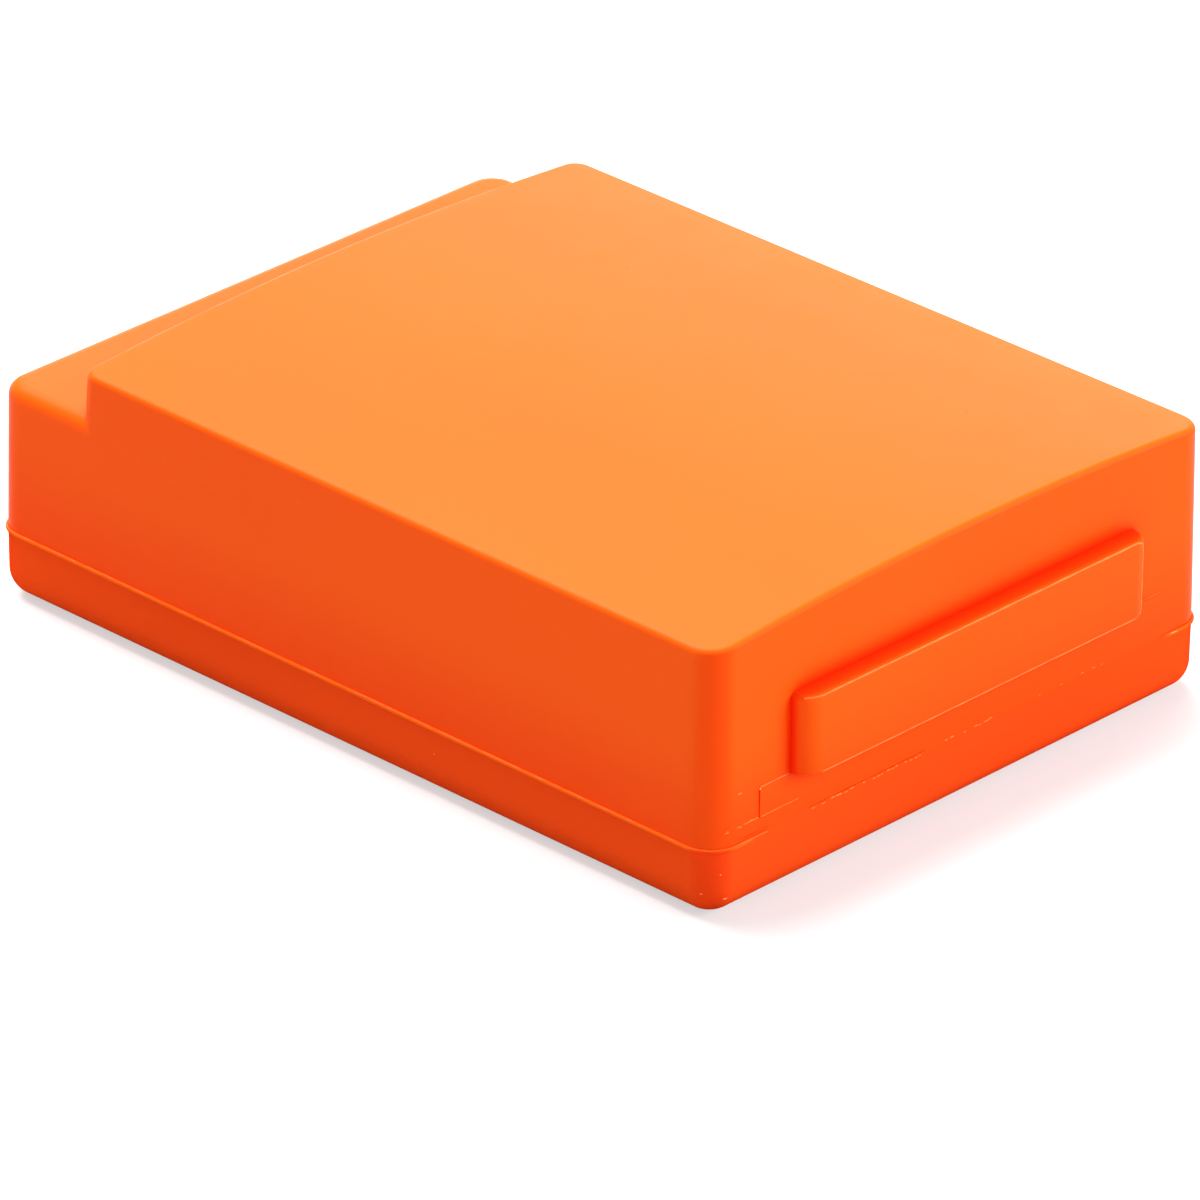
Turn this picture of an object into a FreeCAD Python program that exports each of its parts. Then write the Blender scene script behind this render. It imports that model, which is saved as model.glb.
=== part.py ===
"""Rechargeable nickel-metal-hydride battery pack in a welded two-shell plastic case.

Five round cells lie side by side across the pack and are joined in series by nickel strips.
The lower case is a tray with two contact windows in its floor. The upper case has a crowned top,
a low ledge at one end and a hook bar on the other end.

Units are millimetres. X runs along the pack towards the hook bar, Y across it, Z up.
The origin is the centre of the flat underside.
"""
import FreeCAD, Part
import math
import os

from FreeCAD import Vector

# Cells
CELL_COUNT = 5
CELL_DIAMETER = 14.2
CELL_LENGTH = 50.0
CELL_GAP = 0.2
CELL_EDGE_RADIUS = 0.7
BUTTON_DIAMETER = 5.5
BUTTON_HEIGHT = 1.3
BUTTON_EDGE_RADIUS = 0.25
CRIMP_DEPTH = 0.35
CRIMP_WIDTH = 1.4
CRIMP_BELOW_SHOULDER = 2.6
RING_OUTER_DIAMETER = 12.4
RING_THICKNESS = 0.25
RING_BUTTON_CLEARANCE = 0.4

# Case walls and clearances round the cells
WALL = 1.8
CELL_END_CLEARANCE = 0.85
CELL_SIDE_CLEARANCE = 0.8
CELL_FLOOR_CLEARANCE = 0.25
LEDGE_CLEARANCE = 0.35

# Outer form
SEAM_HEIGHT = 6.0
STEP_HEIGHT = 3.95
CROWN_RISE = 1.2
LEDGE_LENGTH = 9.4
RISER_DRAFT = 3.0
UPPER_DRAFT = 0.6
LOWER_DRAFT = 0.5
CORNER_RADIUS = 2.5
INNER_CORNER_RADIUS = 0.7
BASE_EDGE_RADIUS = 2.3
TOP_EDGE_RADIUS = 0.5
LEDGE_EDGE_RADIUS = 1.2
RISER_CORNER_RADIUS = 1.5

# Hook bar on the end wall, and the mark that its sliding core leaves below it
BAR_LENGTH = 38.4
BAR_HEIGHT = 6.6
BAR_DEPTH = 1.7
BAR_BOTTOM = 9.8
BAR_END_RADIUS = 1.6
BAR_TOP_EDGE_RADIUS = 0.4
BAR_BOTTOM_EDGE_RADIUS = 0.25
CORE_MARK_LENGTH = 45.0
CORE_MARK_HEIGHT = 2.5
CORE_MARK_PROUD = 0.07

# Welded seam
TONGUE_THICKNESS = 0.8
TONGUE_HEIGHT = 1.0
TONGUE_CLEARANCE = 0.1
TONGUE_TOP_CLEARANCE = 0.2
FLASH_PROUD = 0.2
FLASH_HEIGHT = 0.36
FLASH_EDGE_RADIUS = 0.15
FLASH_CORNER_LENGTH = 5.5
FLASH_RUNOUT = 3.0

# Ribs that hold the cells
RIB_THICKNESS = 1.2
RIB_CELL_CLEARANCE = 0.1
RIB_GRIP = 2.6
LOWER_RIB_SPACING = 21.0
UPPER_RIB_SPACING = 13.0
RIB_NOTCH_CLEARANCE = 0.5

# Nickel strips
STRIP_THICKNESS = 0.2
STRIP_WIDTH = 4.0
LEAD_WIDTH = 3.0
LEAD_NEIGHBOUR_GAP = 0.3
LEAD_BEND_RADIUS = 0.6
STRIP_END_MARGIN = 3.0
STRIP_CORNER_RADIUS = 0.8
LINK_WIDTH = 6.0
WELD_SLIT_LENGTH = 4.0
WELD_SLIT_WIDTH = 0.7
GROOVE_CLEARANCE = 0.15

# Contacts and their windows in the floor
CONTACT_END_ROOM = 2.2
CONTACT_THICKNESS = 0.4
CONTACT_WIDTH = 6.0
CONTACT_LENGTH = 16.0
CONTACT_CORNER_RADIUS = 0.6
WINDOW_LENGTH = 5.0
WINDOW_WIDTH = 4.0
WINDOW_CHAMFER = 0.3
PAD_CLEARANCE = 0.3
PAD_RECESS = 0.8
PAD_EDGE_RADIUS = 0.3
STAKE_DIAMETER = 1.4
STAKE_CLEARANCE = 0.05
STAKE_HEAD_DIAMETER = 2.4
STAKE_HEAD_HEIGHT = 0.5
STAKE_HEAD_EDGE_RADIUS = 0.4
STAKE_OFFSET = 4.4

# Resettable fuse between the last cell and the positive contact
FUSE_LENGTH = 11.0
FUSE_WIDTH = 4.8
FUSE_THICKNESS = 1.0
FUSE_EDGE_RADIUS = 0.3
FUSE_OFFSET = 0.8
FUSE_LEAD_LENGTH = 4.0
FUSE_LEAD_WIDTH = 4.0
FUSE_LEAD_THICKNESS = 0.2

# Sizes that follow from the ones above
CELL_RADIUS = CELL_DIAMETER / 2
CELL_PITCH = CELL_DIAMETER + CELL_GAP
ROW_LENGTH = CELL_COUNT * CELL_DIAMETER + (CELL_COUNT - 1) * CELL_GAP
CASE_LENGTH = ROW_LENGTH + 2 * (CELL_SIDE_CLEARANCE + WALL)
CASE_WIDTH = CELL_LENGTH + 2 * (CELL_END_CLEARANCE + WALL)
FLOOR = WALL
CELL_AXIS = FLOOR + CELL_FLOOR_CLEARANCE + CELL_RADIUS
CELL_TOP = CELL_AXIS + CELL_RADIUS
LEDGE_HEIGHT = CELL_TOP + LEDGE_CLEARANCE + WALL
SIDE_HEIGHT = LEDGE_HEIGHT + STEP_HEIGHT
CROWN_HEIGHT = SIDE_HEIGHT + CROWN_RISE
RISER_X = -CASE_LENGTH / 2 + LEDGE_LENGTH
SHOULDER = CELL_LENGTH - BUTTON_HEIGHT
CELL_END_Y = CELL_LENGTH / 2
CELL_X = [(index - (CELL_COUNT - 1) / 2) * CELL_PITCH for index in range(CELL_COUNT)]
CONTACT_X = (CELL_X[0] + CELL_X[1]) / 2
LAST_VALLEY_X = (CELL_X[-2] + CELL_X[-1]) / 2
FUSE_X = LAST_VALLEY_X + FUSE_OFFSET
LEAD_INSET = LEAD_NEIGHBOUR_GAP + LEAD_WIDTH / 2
NEGATIVE_LEAD_X = CONTACT_X - LEAD_INSET
POSITIVE_LEAD_X = LAST_VALLEY_X + LEAD_INSET
CONTACT_WELD_LENGTH = CONTACT_LENGTH / 2 - STAKE_OFFSET
CONTACT_SHIFT = CONTACT_WELD_LENGTH / 2
CONTACT_Y = CELL_END_Y - CONTACT_END_ROOM - CONTACT_LENGTH / 2 - CONTACT_SHIFT
CUT_MARGIN = 1.0
CLOSE = 1e-4


def wire_of(points):
    """Closed wire through plain points, with a three-point arc where an item is a pair (middle, end)."""
    edges = []
    start = points[0]
    here = start
    for item in points[1:] + [start]:
        if isinstance(item, tuple):
            middle, end = item
            edges.append(Part.Arc(here, middle, end).toShape())
        else:
            end = item
            edges.append(Part.LineSegment(here, end).toShape())
        here = end
    return Part.Wire(edges)


def box(x0, x1, y0, y1, z0, z1):
    """Box between two corners."""
    return Part.makeBox(x1 - x0, y1 - y0, z1 - z0, Vector(x0, y0, z0))


def fillet(shape, radius, test):
    """Fillet the edges that pass the test."""
    return shape.makeFillet(radius, [edge for edge in shape.Edges if test(edge)])


def is_upright(edge):
    """True for a straight edge that stands up, with or without draft."""
    if len(edge.Vertexes) != 2:
        return False
    run = edge.Vertexes[1].Point - edge.Vertexes[0].Point
    return abs(run.z) > 0.9 * edge.Length and abs(run.z) > 0.9 * run.Length


def lies_at(z):
    """Test for edges whose whole length lies at height z."""
    return lambda edge: abs(edge.BoundBox.ZMin - z) < CLOSE and abs(edge.BoundBox.ZMax - z) < CLOSE


def frustum(low, z_low, high, z_high):
    """Flat-sided block about the Z axis between two rectangles, each given as (length, width)."""
    wedge = Part.makeWedge(-low[0] / 2, z_low, -low[1] / 2, -high[1] / 2, -high[0] / 2,
                           low[0] / 2, z_high, low[1] / 2, high[1] / 2, high[0] / 2)
    wedge.rotate(Vector(0, 0, 0), Vector(1, 0, 0), 90)
    return wedge


def case_plan(inset):
    """Length and width of the case at the seam, inset all round."""
    return CASE_LENGTH - 2 * inset, CASE_WIDTH - 2 * inset


def drafted_block(z_low, z_high, draft, inset):
    """Block of the case's plan, inset all round, that narrows by the draft away from the seam."""
    lean = math.tan(math.radians(draft))
    low = case_plan(inset + lean * abs(z_low - SEAM_HEIGHT))
    high = case_plan(inset + lean * abs(z_high - SEAM_HEIGHT))
    return frustum(low, z_low, high, z_high)


def plan_block(inset, radius, z_low, z_high):
    """Straight-sided block of the case's plan at the seam, inset all round."""
    block = frustum(case_plan(inset), z_low, case_plan(inset), z_high)
    return fillet(block, radius, is_upright)


def seam_ring(outer_inset, inner_inset, z_low, z_high):
    """Ring of the case's plan at the seam, between two insets from its outer face."""
    outer = plan_block(outer_inset, max(CORNER_RADIUS - outer_inset, INNER_CORNER_RADIUS), z_low, z_high)
    return outer.cut(plan_block(inner_inset, INNER_CORNER_RADIUS, z_low, z_high))


def under_crown(drop):
    """Everything below the crowned top, lowered by drop, as a prism along X."""
    y = CASE_WIDTH / 2
    side = SIDE_HEIGHT - drop
    x = CASE_LENGTH / 2 + CUT_MARGIN
    profile = wire_of([
        Vector(-x, -y, 0),
        Vector(-x, -y, side),
        (Vector(-x, 0, side + CROWN_RISE), Vector(-x, y, side)),
        Vector(-x, y, 0),
    ])
    return Part.Face(profile).extrude(Vector(2 * x, 0, 0))


def scalloped_rib(y, z_low, z_high, x0, x1):
    """Upright web along X at y, cut back from every cell."""
    half = RIB_THICKNESS / 2
    web = box(x0, x1, y - half, y + half, z_low, z_high)
    for x in CELL_X:
        start = Vector(x, y - half, CELL_AXIS)
        seat = Part.makeCylinder(CELL_RADIUS + RIB_CELL_CLEARANCE, RIB_THICKNESS, start, Vector(0, 1, 0))
        web = web.cut(seat)
    return web


def contact_centre(side):
    """Plan centre of a contact plate; its window is at CONTACT_Y, and its weld end reaches to -Y of that."""
    return Vector(CONTACT_X, side * CONTACT_Y - CONTACT_SHIFT, FLOOR)


def stake_points(side):
    """Plan positions of the two stakes that hold a contact plate, one each side of its window."""
    return [Vector(CONTACT_X, side * CONTACT_Y + offset, FLOOR) for offset in (-STAKE_OFFSET, STAKE_OFFSET)]


def fuse_span():
    """Y range of the fuse's body: its inner lead ends level with the positive contact's weld end."""
    start = contact_centre(1).y - CONTACT_LENGTH / 2 + FUSE_LEAD_LENGTH
    return start, start + FUSE_LENGTH


def bus_span():
    """Y range of the bus strip, under the positive contact's weld end."""
    start = contact_centre(1).y - CONTACT_LENGTH / 2
    return start, start + STRIP_WIDTH


def lead_end(side):
    """Y where the foot of an end lead stops: under the negative contact, or under the fuse's outer lead."""
    if side < 0:
        return contact_centre(-1).y - CONTACT_LENGTH / 2 + STRIP_WIDTH
    return fuse_span()[1]


def strip_grooves():
    """Grooves in the floor that take the three strips flush with it."""
    lead = LEAD_WIDTH / 2 + GROOVE_CLEARANCE
    bus = STRIP_WIDTH / 2 + GROOVE_CLEARANCE
    outer = CELL_END_Y + STRIP_THICKNESS + GROOVE_CLEARANCE
    z0 = FLOOR - STRIP_THICKNESS
    z1 = FLOOR + CUT_MARGIN
    y0, y1 = bus_span()
    return [
        box(NEGATIVE_LEAD_X - lead, NEGATIVE_LEAD_X + lead, -outer, lead_end(-1) + GROOVE_CLEARANCE, z0, z1),
        box(POSITIVE_LEAD_X - lead, POSITIVE_LEAD_X + lead, lead_end(1) - GROOVE_CLEARANCE, outer, z0, z1),
        box(CONTACT_X - bus, FUSE_X + bus, y0 - GROOVE_CLEARANCE, y1 + GROOVE_CLEARANCE, z0, z1),
    ]


def conductor_keepouts():
    """Room that the ribs leave for the contacts, the fuse and the feet of the two leads."""
    wall = CASE_WIDTH / 2 - WALL
    spans = [
        (NEGATIVE_LEAD_X, LEAD_WIDTH, -wall, lead_end(-1)),
        (POSITIVE_LEAD_X, LEAD_WIDTH, lead_end(1), wall),
        (FUSE_X, FUSE_WIDTH, bus_span()[0], fuse_span()[1] + FUSE_LEAD_LENGTH),
    ]
    for side in (-1, 1):
        y0 = contact_centre(side).y - CONTACT_LENGTH / 2
        spans.append((CONTACT_X, CONTACT_WIDTH, y0, y0 + CONTACT_LENGTH))
    gap = RIB_NOTCH_CLEARANCE
    return [box(x - width / 2 - gap, x + width / 2 + gap, y0 - gap, y1 + gap, FLOOR, CELL_AXIS)
            for x, width, y0, y1 in spans]


def lower_shell():
    """Drafted tray with rounded upright and base edges, before its inner features."""
    outer = drafted_block(0, SEAM_HEIGHT, LOWER_DRAFT, 0)
    edge_sets = [(CORNER_RADIUS, is_upright), (BASE_EDGE_RADIUS, lies_at(0))]
    for radius, test in sorted(edge_sets, key=lambda item: -item[0]):
        outer = fillet(outer, radius, test)
    inner = drafted_block(FLOOR, SEAM_HEIGHT, LOWER_DRAFT, WALL)
    inner = fillet(inner, INNER_CORNER_RADIUS, is_upright)
    return outer.cut(inner)


def flash_trim():
    """Length of bead that is trimmed off the bar end; what is left runs out into the wall at a slant."""
    wall = CASE_LENGTH / 2
    y = CASE_WIDTH / 2 - FLASH_CORNER_LENGTH
    plan = wire_of([
        Vector(wall - WALL, -y, 0),
        Vector(wall, -y, 0),
        Vector(wall + 2 * FLASH_PROUD, -y - 2 * FLASH_RUNOUT, 0),
        Vector(wall + 2 * FLASH_PROUD, y + 2 * FLASH_RUNOUT, 0),
        Vector(wall, y, 0),
        Vector(wall - WALL, y, 0),
    ])
    return Part.Face(plan).extrude(Vector(0, 0, SEAM_HEIGHT + CUT_MARGIN))


def flash_bead():
    """Rounded bead of weld flash round the tray, just below the seam."""
    low = SEAM_HEIGHT - FLASH_HEIGHT
    bead = plan_block(-FLASH_PROUD, CORNER_RADIUS + FLASH_PROUD, low, SEAM_HEIGHT)
    bead = fillet(bead, FLASH_EDGE_RADIUS, lambda edge: lies_at(low)(edge) or lies_at(SEAM_HEIGHT)(edge))
    bead = bead.cut(plan_block(WALL / 2, INNER_CORNER_RADIUS, low, SEAM_HEIGHT))
    return bead.cut(flash_trim())


def stake(point):
    """Plastic pin with a formed head that holds a contact plate down."""
    under_head = CONTACT_THICKNESS
    pin = Part.makeCylinder(STAKE_DIAMETER / 2, under_head + STAKE_HEAD_HEIGHT / 2, point)
    head = Part.makeCylinder(STAKE_HEAD_DIAMETER / 2, STAKE_HEAD_HEIGHT, point + Vector(0, 0, under_head))
    head = fillet(head, STAKE_HEAD_EDGE_RADIUS, lies_at(point.z + under_head + STAKE_HEAD_HEIGHT))
    return pin.fuse(head)


def contact_window(side):
    """Opening through the floor under a contact, with a chamfered mouth."""
    x = WINDOW_WIDTH / 2
    y = WINDOW_LENGTH / 2
    c = WINDOW_CHAMFER
    hole = box(-x, x, -y, y, -CUT_MARGIN, FLOOR + CUT_MARGIN)
    mouth = frustum((2 * (x + c), 2 * (y + c)), 0, (2 * x, 2 * y), c)
    return hole.fuse(mouth).translated(Vector(CONTACT_X, side * CONTACT_Y, 0))


def lower_case():
    """Tray with weld tongue, flash bead, cell ribs, strip grooves, contact windows and stakes."""
    tray = lower_shell()
    tray = tray.fuse(flash_bead())
    tongue = seam_ring(WALL - TONGUE_THICKNESS, WALL, SEAM_HEIGHT - WALL / 2, SEAM_HEIGHT + TONGUE_HEIGHT)
    tray = tray.fuse(tongue)
    room = drafted_block(FLOOR / 2, SEAM_HEIGHT, LOWER_DRAFT, WALL / 2)
    keepouts = conductor_keepouts()
    rib_top = CELL_AXIS - CELL_RADIUS + RIB_GRIP
    for y in (-LOWER_RIB_SPACING, 0, LOWER_RIB_SPACING):
        rib = scalloped_rib(y, FLOOR / 2, rib_top, -CASE_LENGTH / 2, CASE_LENGTH / 2).common(room)
        for keepout in keepouts:
            rib = rib.cut(keepout)
        tray = tray.fuse(rib)
    for groove in strip_grooves():
        tray = tray.cut(groove)
    for side in (-1, 1):
        tray = tray.cut(contact_window(side))
        for point in stake_points(side):
            tray = tray.fuse(stake(point))
    return tray.removeSplitter()


def past_riser(inset):
    """Everything on the bar's side of the leaning riser, moved back by an inset, as a prism across the pack."""
    lean = math.tan(math.radians(RISER_DRAFT))
    foot = RISER_X + inset - lean * LEDGE_HEIGHT
    reach = CASE_LENGTH
    profile = wire_of([
        Vector(foot, -reach, 0),
        Vector(foot + lean * reach, -reach, reach),
        Vector(reach, -reach, reach),
        Vector(reach, -reach, 0),
    ])
    return Part.Face(profile).extrude(Vector(0, 2 * reach, 0))


def upper_outer():
    """Outer form of the upper case: a rounded block under a crowned top, with the ledge at one end."""
    block = drafted_block(SEAM_HEIGHT, CROWN_HEIGHT + CUT_MARGIN, UPPER_DRAFT, 0)
    block = fillet(block, CORNER_RADIUS, is_upright)
    reach = CASE_LENGTH
    ledge_end = RISER_X + RISER_CORNER_RADIUS + CUT_MARGIN
    ledge_part = block.common(box(-reach, ledge_end, -reach, reach, 0, LEDGE_HEIGHT))
    def on_ledge_rim(edge):
        return lies_at(LEDGE_HEIGHT)(edge) and edge.BoundBox.XMin < RISER_X
    ledge_part = fillet(ledge_part, LEDGE_EDGE_RADIUS, on_ledge_rim)
    crowned_part = block.common(past_riser(0)).common(under_crown(0))
    def on_riser_corner(edge):
        return is_upright(edge) and edge.BoundBox.XMax < RISER_X + STEP_HEIGHT
    crowned_part = fillet(crowned_part, RISER_CORNER_RADIUS, on_riser_corner)
    def on_top_rim(edge):
        return edge.BoundBox.ZMin > LEDGE_HEIGHT + STEP_HEIGHT / 2
    crowned_part = fillet(crowned_part, TOP_EDGE_RADIUS, on_top_rim)
    return ledge_part.fuse(crowned_part).removeSplitter()


def upper_inner():
    """Hollow of the upper case, a wall's thickness inside its outer form."""
    block = drafted_block(SEAM_HEIGHT, CROWN_HEIGHT, UPPER_DRAFT, WALL)
    block = fillet(block, INNER_CORNER_RADIUS, is_upright)
    reach = CASE_LENGTH
    low = block.common(box(-reach, reach, -reach, reach, 0, LEDGE_HEIGHT - WALL))
    high = block.common(past_riser(WALL)).common(under_crown(WALL))
    return low.fuse(high).removeSplitter()


def end_wall_x(z):
    """X of the upper case's end wall at height z."""
    return CASE_LENGTH / 2 - (z - SEAM_HEIGHT) * math.tan(math.radians(UPPER_DRAFT))


def hook_bar():
    """Bar across the end wall, round at its two ends and along its front rims."""
    root = end_wall_x(BAR_BOTTOM) - WALL / 2
    front = end_wall_x(BAR_BOTTOM) + BAR_DEPTH
    y = BAR_LENGTH / 2
    r = min(BAR_END_RADIUS, BAR_DEPTH)
    k = r * (1 - math.sqrt(0.5))
    plan = wire_of([
        Vector(root, -y, BAR_BOTTOM),
        Vector(front - r, -y, BAR_BOTTOM),
        (Vector(front - k, -y + k, BAR_BOTTOM), Vector(front, -y + r, BAR_BOTTOM)),
        Vector(front, y - r, BAR_BOTTOM),
        (Vector(front - k, y - k, BAR_BOTTOM), Vector(front - r, y, BAR_BOTTOM)),
        Vector(root, y, BAR_BOTTOM),
    ])
    bar = Part.Face(plan).extrude(Vector(0, 0, BAR_HEIGHT))
    rims = [(BAR_BOTTOM + BAR_HEIGHT, BAR_TOP_EDGE_RADIUS), (BAR_BOTTOM, BAR_BOTTOM_EDGE_RADIUS)]
    for z, radius in rims:
        bar = fillet(bar, radius, lambda edge: lies_at(z)(edge) and edge.BoundBox.XMax > root + CLOSE)
    return bar


def core_mark():
    """Faint raised patch below the hook bar, where the mould's sliding core closed."""
    face = end_wall_x(BAR_BOTTOM - CORE_MARK_HEIGHT)
    y = CORE_MARK_LENGTH / 2
    return box(face - WALL / 2, face + CORE_MARK_PROUD, -y, y, BAR_BOTTOM - CORE_MARK_HEIGHT, BAR_BOTTOM)


def upper_case():
    """Crowned cover with ledge, hook bar, seam rebate and the ribs that keep the cells down."""
    cover = upper_outer()
    cover = cover.fuse(hook_bar()).fuse(core_mark())
    hollow = upper_inner()
    cover = cover.cut(hollow)
    rebate = seam_ring(WALL - TONGUE_THICKNESS - TONGUE_CLEARANCE, WALL + TONGUE_CLEARANCE,
                       SEAM_HEIGHT - CUT_MARGIN, SEAM_HEIGHT + TONGUE_HEIGHT + TONGUE_TOP_CLEARANCE)
    cover = cover.cut(rebate)
    room = under_crown(WALL / 2).common(drafted_block(SEAM_HEIGHT, CROWN_HEIGHT, UPPER_DRAFT, WALL / 2))
    for y in (-UPPER_RIB_SPACING, UPPER_RIB_SPACING):
        rib = scalloped_rib(y, CELL_TOP - RIB_GRIP, CROWN_HEIGHT, RISER_X + WALL / 2, CASE_LENGTH / 2)
        cover = cover.fuse(rib.common(room))
    return cover.removeSplitter()


def positive_side(index):
    """+1 where the cell's positive end points to +Y, and -1 where it points to -Y."""
    return 1 if index % 2 == 0 else -1


def cell(index):
    """One sealed cell, turned about its own axis: can, crimp, shoulder and button."""
    r = CELL_RADIUS
    e = CELL_EDGE_RADIUS
    k = e * (1 - math.sqrt(0.5))
    b = BUTTON_DIAMETER / 2
    f = BUTTON_EDGE_RADIUS
    j = f * (1 - math.sqrt(0.5))
    crimp = SHOULDER - CRIMP_BELOW_SHOULDER
    half = CRIMP_WIDTH / 2
    def at(radius, along):
        return Vector(radius, along, 0)
    profile = wire_of([
        at(0, 0),
        at(r - e, 0),
        (at(r - k, k), at(r, e)),
        at(r, crimp - half),
        (at(r - CRIMP_DEPTH, crimp), at(r, crimp + half)),
        at(r, SHOULDER - e),
        (at(r - k, SHOULDER - k), at(r - e, SHOULDER)),
        at(b, SHOULDER),
        at(b, CELL_LENGTH - f),
        (at(b - j, CELL_LENGTH - j), at(b - f, CELL_LENGTH)),
        at(0, CELL_LENGTH),
    ])
    body = Part.Face(profile).revolve(Vector(0, 0, 0), Vector(0, 1, 0), 360)
    body.translate(Vector(0, -CELL_END_Y, 0))
    return placed_on_cell(body, index)


def placed_on_cell(shape, index):
    """Turn a shape made for a cell with its positive end at +Y to the cell's own way round, and place it."""
    if positive_side(index) < 0:
        shape.rotate(Vector(0, 0, 0), Vector(0, 0, 1), 180)
    shape.translate(Vector(CELL_X[index], 0, CELL_AXIS))
    return shape


def insulator_ring(index):
    """Paper washer on the cell's positive shoulder, round the button."""
    foot = Vector(0, SHOULDER - CELL_END_Y, 0)
    along = Vector(0, 1, 0)
    outer = Part.makeCylinder(RING_OUTER_DIAMETER / 2, RING_THICKNESS, foot, along)
    hole = Part.makeCylinder(BUTTON_DIAMETER / 2 + RING_BUTTON_CLEARANCE, RING_THICKNESS, foot, along)
    return placed_on_cell(outer.cut(hole), index)


def strip_plate(x0, x1, z0, z1, side):
    """Upright strip against the cell ends on one side, with rounded corners."""
    y0 = CELL_END_Y if side > 0 else -CELL_END_Y - STRIP_THICKNESS
    plate = box(x0, x1, y0, y0 + STRIP_THICKNESS, z0, z1)
    def runs_through(edge):
        return abs(edge.BoundBox.YLength - STRIP_THICKNESS) < CLOSE
    return fillet(plate, STRIP_CORNER_RADIUS, runs_through)


def weld_slit(x, side):
    """Slit between the two weld spots on a cell end."""
    along = WELD_SLIT_LENGTH / 2
    across = WELD_SLIT_WIDTH / 2
    return box(x - along, x + along, side * CELL_END_Y - 1, side * CELL_END_Y + 1, CELL_AXIS - across,
               CELL_AXIS + across)


def link_strip(index):
    """Strip that joins a cell's positive end to the next cell's negative end."""
    side = positive_side(index)
    x0 = CELL_X[index]
    x1 = CELL_X[index + 1]
    strip = strip_plate(x0 - STRIP_END_MARGIN, x1 + STRIP_END_MARGIN, CELL_AXIS - LINK_WIDTH / 2,
                        CELL_AXIS + LINK_WIDTH / 2, side)
    return strip.cut(weld_slit(x0, side)).cut(weld_slit(x1, side))


def end_lead(side, cell_x, foot_x):
    """Strip from an end cell's terminal down beside the row and in along the floor."""
    t = STRIP_THICKNESS
    w = LEAD_WIDTH / 2
    outward = 1 if cell_x > foot_x else -1
    arm_ends = sorted((cell_x + outward * STRIP_END_MARGIN, foot_x - outward * w))
    half = STRIP_WIDTH / 2
    arm = strip_plate(arm_ends[0], arm_ends[1], CELL_AXIS - half, CELL_AXIS + half, side)
    arm = arm.cut(weld_slit(cell_x, side))
    inner = CELL_END_Y
    inner_r = LEAD_BEND_RADIUS - t / 2
    outer_r = LEAD_BEND_RADIUS + t / 2
    centre_y = inner - inner_r
    centre_z = FLOOR + inner_r
    c = math.sqrt(0.5)
    end = abs(lead_end(side))
    def at(y, z):
        return Vector(foot_x - w, side * y, z)
    profile = wire_of([
        at(inner + t, CELL_AXIS),
        at(inner + t, centre_z),
        (at(centre_y + outer_r * c, centre_z - outer_r * c), at(centre_y, FLOOR - t)),
        at(end, FLOOR - t),
        at(end, FLOOR),
        at(centre_y, FLOOR),
        (at(centre_y + inner_r * c, centre_z - inner_r * c), at(inner, centre_z)),
        at(inner, CELL_AXIS),
    ])
    leg = Part.Face(profile).extrude(Vector(LEAD_WIDTH, 0, 0))
    return arm.fuse(leg).removeSplitter()


def bus_strip():
    """Straight strip in the floor from the fuse to the positive contact."""
    y0, y1 = bus_span()
    w = STRIP_WIDTH / 2
    return box(CONTACT_X - w, FUSE_X + w, y0, y1, FLOOR - STRIP_THICKNESS, FLOOR)


def resettable_fuse():
    """Flat fuse with a strip lead at each end, lying on the floor between the last two cells."""
    y0, y1 = fuse_span()
    w = FUSE_WIDTH / 2
    body = box(FUSE_X - w, FUSE_X + w, y0, y1, FLOOR, FLOOR + FUSE_THICKNESS)
    body = fillet(body, FUSE_EDGE_RADIUS, lies_at(FLOOR + FUSE_THICKNESS))
    lead = FUSE_LEAD_WIDTH / 2
    leads = box(FUSE_X - lead, FUSE_X + lead, y0 - FUSE_LEAD_LENGTH, y1 + FUSE_LEAD_LENGTH, FLOOR,
                FLOOR + FUSE_LEAD_THICKNESS)
    return body.fuse(leads).removeSplitter()


def contact(side):
    """Contact plate on the floor, dished down into its window and pierced for its two stakes."""
    centre = contact_centre(side)
    w = CONTACT_WIDTH / 2
    t = CONTACT_THICKNESS
    y0 = centre.y - CONTACT_LENGTH / 2
    plate = box(CONTACT_X - w, CONTACT_X + w, y0, y0 + CONTACT_LENGTH, FLOOR, FLOOR + t)
    plate = fillet(plate, CONTACT_CORNER_RADIUS, is_upright)
    pad_x = WINDOW_WIDTH / 2 - PAD_CLEARANCE
    pad_y = WINDOW_LENGTH / 2 - PAD_CLEARANCE
    y = side * CONTACT_Y
    dish = box(CONTACT_X - pad_x, CONTACT_X + pad_x, y - pad_y, y + pad_y, PAD_RECESS, FLOOR + t)
    dish = fillet(dish, PAD_EDGE_RADIUS, lambda edge: is_upright(edge) or lies_at(PAD_RECESS)(edge))
    hollow = box(CONTACT_X - pad_x + t, CONTACT_X + pad_x - t, y - pad_y + t, y + pad_y - t, PAD_RECESS + t,
                 FLOOR + t)
    plate = plate.fuse(dish).cut(hollow)
    for point in stake_points(side):
        plate = plate.cut(Part.makeCylinder(STAKE_DIAMETER / 2 + STAKE_CLEARANCE, t, point))
    return plate.removeSplitter()


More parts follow.
